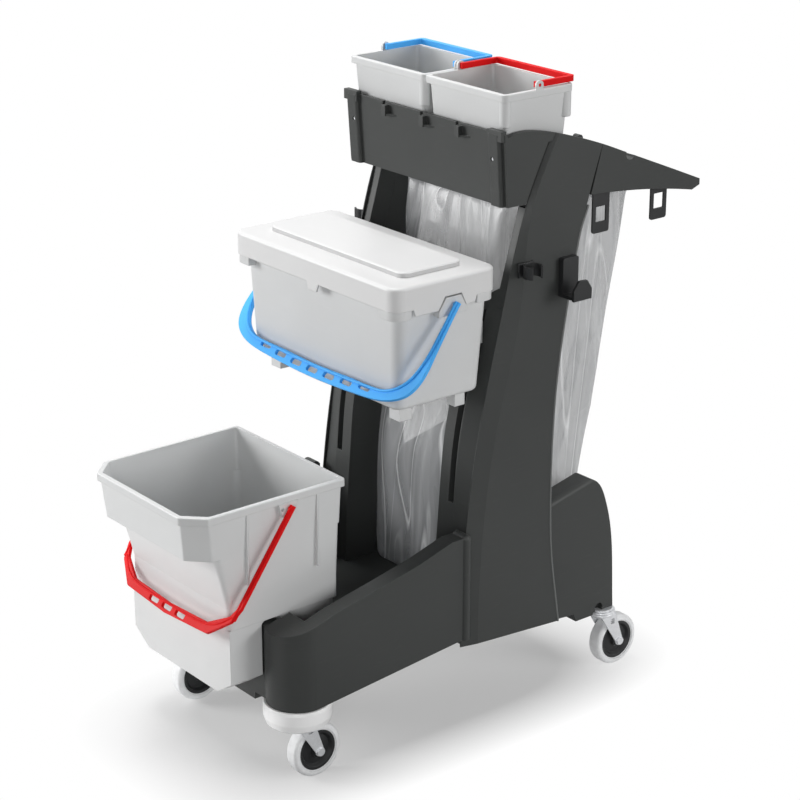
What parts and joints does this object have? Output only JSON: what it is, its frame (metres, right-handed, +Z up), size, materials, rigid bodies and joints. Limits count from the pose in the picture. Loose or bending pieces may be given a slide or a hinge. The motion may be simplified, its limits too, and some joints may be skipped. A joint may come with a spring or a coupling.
{
  "type": "double mop bucket trolley",
  "caption": "Wheeled cleaning trolley with a floor bucket, a lidded mop box hung between two uprights, a tray of small buckets, a waste bag on a rear frame and swivel castors.",
  "frame": {"origin": "on the floor, under the middle of the whole trolley", "axes": "+X to the trolley's right, +Y to its rear where the waste bag hangs, +Z up"},
  "size_m": [0.524, 1.083, 1.1635],
  "materials": {
    "dark_plastic": "fine grained charcoal moulding",
    "pale_plastic": "smooth light grey moulding",
    "white_plastic": "smooth white moulding",
    "blue_plastic": "smooth bright blue moulding",
    "red_plastic": "smooth bright red moulding",
    "black_plastic": "black moulding",
    "grey_rubber": "grey non-marking tread",
    "zinc_steel": "bright zinc plated",
    "clear_film": "thin clear film, creased"
  },
  "bodies": {
    "trolley": {"accessory_hook_left": "black_plastic", "accessory_hook_right": "black_plastic", "arm_screws": "zinc_steel", "bag_clip": "dark_plastic", "bag_frame": "dark_plastic", "base_chassis": "dark_plastic", "box_hanger_left": "dark_plastic", "box_hanger_right": "dark_plastic", "castor_bolts": "zinc_steel", "castor_head_front_left": "zinc_steel", "castor_head_front_right": "zinc_steel", "castor_head_rear_left": "zinc_steel", "castor_head_rear_right": "zinc_steel", "front_bumper_left": "white_plastic", "front_bumper_right": "white_plastic", "handle_clip_left": "black_plastic", "handle_clip_right": "black_plastic", "hanger_plate_front_left": "black_plastic", "hanger_plate_front_right": "black_plastic", "hanger_plate_rear_left": "black_plastic", "hanger_plate_rear_right": "black_plastic", "rear_arm_left": "dark_plastic", "rear_arm_right": "dark_plastic", "tray": "dark_plastic", "tray_screws": "zinc_steel", "upright_cover_left": "dark_plastic", "upright_cover_right": "dark_plastic", "upright_post_left": "dark_plastic", "upright_post_right": "dark_plastic", "waste_bag": "clear_film"},
    "castor_front_left": {"castor_fork_front_left": "zinc_steel", "castor_axle_front_left": "zinc_steel"},
    "wheel_front_left": {"wheel_hub_front_left": "black_plastic", "wheel_tyre_front_left": "grey_rubber"},
    "castor_front_right": {"castor_fork_front_right": "zinc_steel", "castor_axle_front_right": "zinc_steel"},
    "wheel_front_right": {"wheel_hub_front_right": "black_plastic", "wheel_tyre_front_right": "grey_rubber"},
    "castor_rear_left": {"castor_fork_rear_left": "zinc_steel", "castor_axle_rear_left": "zinc_steel"},
    "wheel_rear_left": {"wheel_hub_rear_left": "black_plastic", "wheel_tyre_rear_left": "grey_rubber"},
    "castor_rear_right": {"castor_fork_rear_right": "zinc_steel", "castor_axle_rear_right": "zinc_steel"},
    "wheel_rear_right": {"wheel_hub_rear_right": "black_plastic", "wheel_tyre_rear_right": "grey_rubber"},
    "large_bucket": {"large_bucket": "pale_plastic"},
    "large_bail": {"large_bucket_bail": "red_plastic"},
    "mop_box": {"mop_box": "pale_plastic"},
    "mop_box_lid": {"mop_box_lid": "white_plastic"},
    "mop_box_bail": {"mop_box_bail": "blue_plastic"},
    "small_bucket_left": {"small_bucket_left": "pale_plastic"},
    "small_bail_left": {"small_bucket_bail_left": "blue_plastic"},
    "small_bucket_right": {"small_bucket_right": "pale_plastic"},
    "small_bail_right": {"small_bucket_bail_right": "red_plastic"}
  },
  "joints": [
    {"name": "swivel_front_left", "type": "hinge", "parent": "trolley", "child": "castor_front_left", "pos_m": [-0.18, -0.3485, 0.115], "axis": [0, 0, 1], "continuous": true},
    {"name": "roll_front_left", "type": "hinge", "parent": "castor_front_left", "child": "wheel_front_left", "pos_m": [-0.18, -0.3165, 0.05], "axis": [1, 0, 0], "continuous": true},
    {"name": "swivel_front_right", "type": "hinge", "parent": "trolley", "child": "castor_front_right", "pos_m": [0.18, -0.3485, 0.115], "axis": [0, 0, 1], "continuous": true},
    {"name": "roll_front_right", "type": "hinge", "parent": "castor_front_right", "child": "wheel_front_right", "pos_m": [0.18, -0.3165, 0.05], "axis": [1, 0, 0], "continuous": true},
    {"name": "swivel_rear_left", "type": "hinge", "parent": "trolley", "child": "castor_rear_left", "pos_m": [-0.194, 0.3525, 0.115], "axis": [0, 0, 1], "continuous": true},
    {"name": "roll_rear_left", "type": "hinge", "parent": "castor_rear_left", "child": "wheel_rear_left", "pos_m": [-0.194, 0.3845, 0.05], "axis": [1, 0, 0], "continuous": true},
    {"name": "swivel_rear_right", "type": "hinge", "parent": "trolley", "child": "castor_rear_right", "pos_m": [0.194, 0.3525, 0.115], "axis": [0, 0, 1], "continuous": true},
    {"name": "roll_rear_right", "type": "hinge", "parent": "castor_rear_right", "child": "wheel_rear_right", "pos_m": [0.194, 0.3845, 0.05], "axis": [1, 0, 0], "continuous": true},
    {"name": "large_bucket_lift", "type": "slide", "parent": "trolley", "child": "large_bucket", "axis": [0, 0, 1], "range_m": [0, 0.25]},
    {"name": "large_bail_swing", "type": "hinge", "parent": "large_bucket", "child": "large_bail", "pos_m": [0, -0.3455, 0.503], "axis": [-1, 0, 0], "range_deg": [0, 144]},
    {"name": "mop_box_unhook", "type": "slide", "parent": "trolley", "child": "mop_box", "axis": [0, 0, 1], "range_m": [0, 0.04]},
    {"name": "lid_lift", "type": "slide", "parent": "mop_box", "child": "mop_box_lid", "axis": [0, 0, 1], "range_m": [0, 0.1]},
    {"name": "mop_box_bail_swing", "type": "hinge", "parent": "mop_box", "child": "mop_box_bail", "pos_m": [0, -0.0485, 0.816], "axis": [-1, 0, 0], "range_deg": [0, 140]},
    {"name": "small_bucket_lift_left", "type": "slide", "parent": "trolley", "child": "small_bucket_left", "axis": [0, 0, 1], "range_m": [0, 0.2]},
    {"name": "small_bail_swing_left", "type": "hinge", "parent": "small_bucket_left", "child": "small_bail_left", "pos_m": [-0.1056, 0.153, 1.1555], "axis": [1, 0, 0], "range_deg": [0, 180]},
    {"name": "small_bucket_lift_right", "type": "slide", "parent": "trolley", "child": "small_bucket_right", "axis": [0, 0, 1], "range_m": [0, 0.2]},
    {"name": "small_bail_swing_right", "type": "hinge", "parent": "small_bucket_right", "child": "small_bail_right", "pos_m": [0.1056, 0.153, 1.1555], "axis": [1, 0, 0], "range_deg": [0, 180]}
  ]
}
